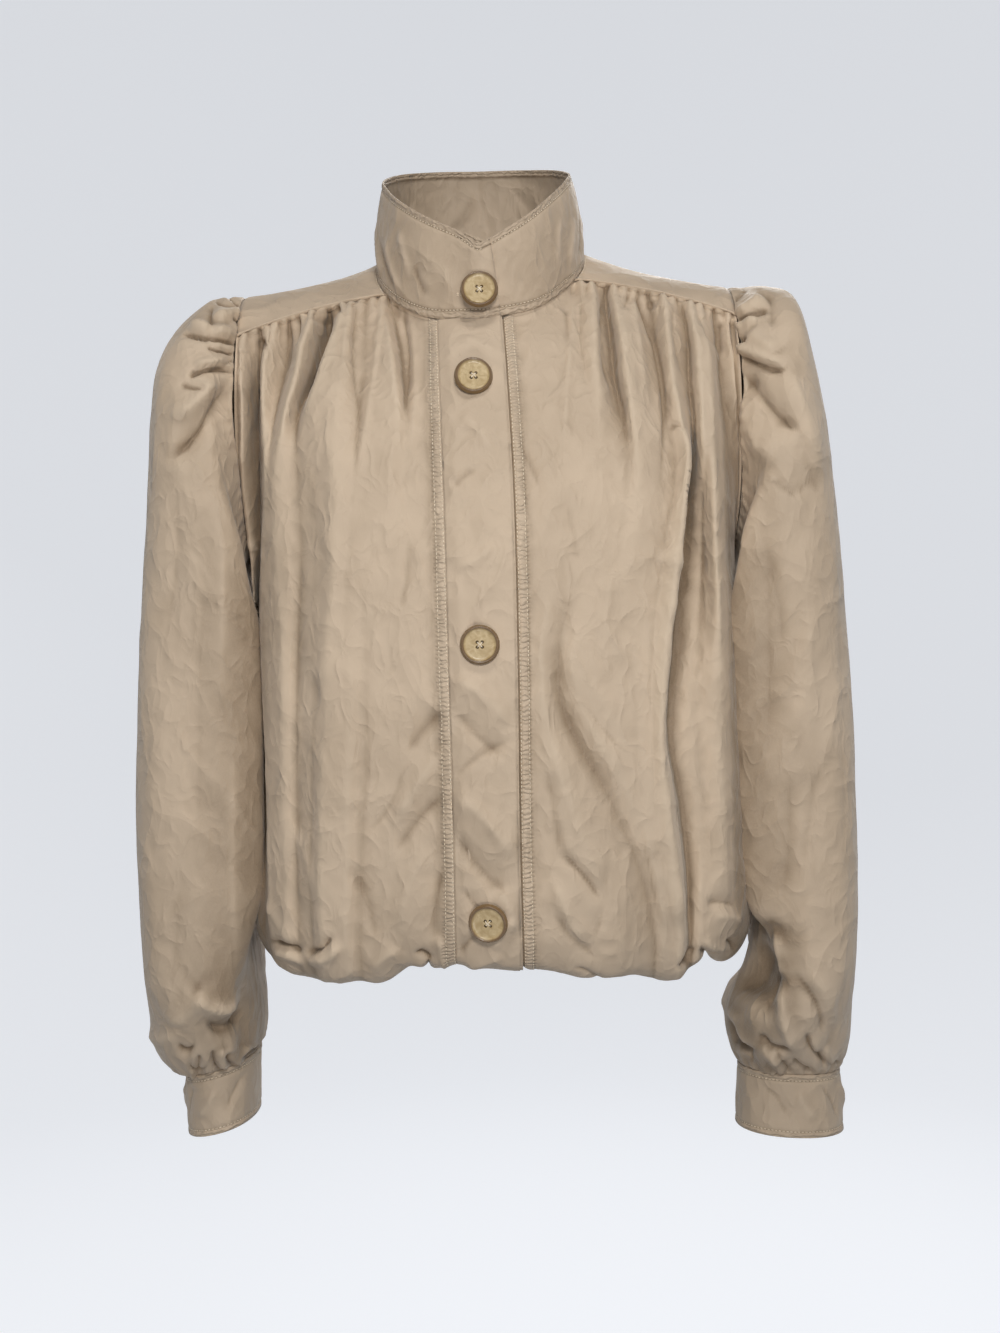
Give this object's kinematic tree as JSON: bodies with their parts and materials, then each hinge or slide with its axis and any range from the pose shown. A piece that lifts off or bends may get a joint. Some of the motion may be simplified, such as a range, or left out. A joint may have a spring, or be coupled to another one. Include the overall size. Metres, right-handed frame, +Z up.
{
  "type": "jacket",
  "caption": "Short blouson jacket with funnel collar, shoulder yoke, gathered fronts and back, puff sleeves gathered into cuffs, lapped button placket and turned-under bubble hem, worn shape.",
  "frame": {"origin": "middle of the neck hole at the height where the shoulders meet the neck, where the wearer's neck and shoulders hold the jacket up", "axes": "+X towards the wearer's left sleeve, -Y out of the buttoned front, +Y out of the back, +Z up towards the collar"},
  "size_m": [0.557, 0.2879, 0.7919],
  "materials": {
    "cloth": "thin crisp beige woven cotton-nylon, finely crinkled, soft satin sheen",
    "button": "horn-effect resin, olive-tan marbled face with a dark brown rim, semi-gloss"
  },
  "bodies": {
    "root": {"front_right": "cloth", "front_left": "cloth", "back": "cloth", "yoke": "cloth", "collar": "cloth", "placket_right": "cloth", "placket_left": "cloth", "sleeve_right": "cloth", "sleeve_left": "cloth", "cuff_right": "cloth", "cuff_left": "cloth", "button_1": "button", "button_2": "button", "button_3": "button", "button_4": "button"}
  },
  "joints": []
}
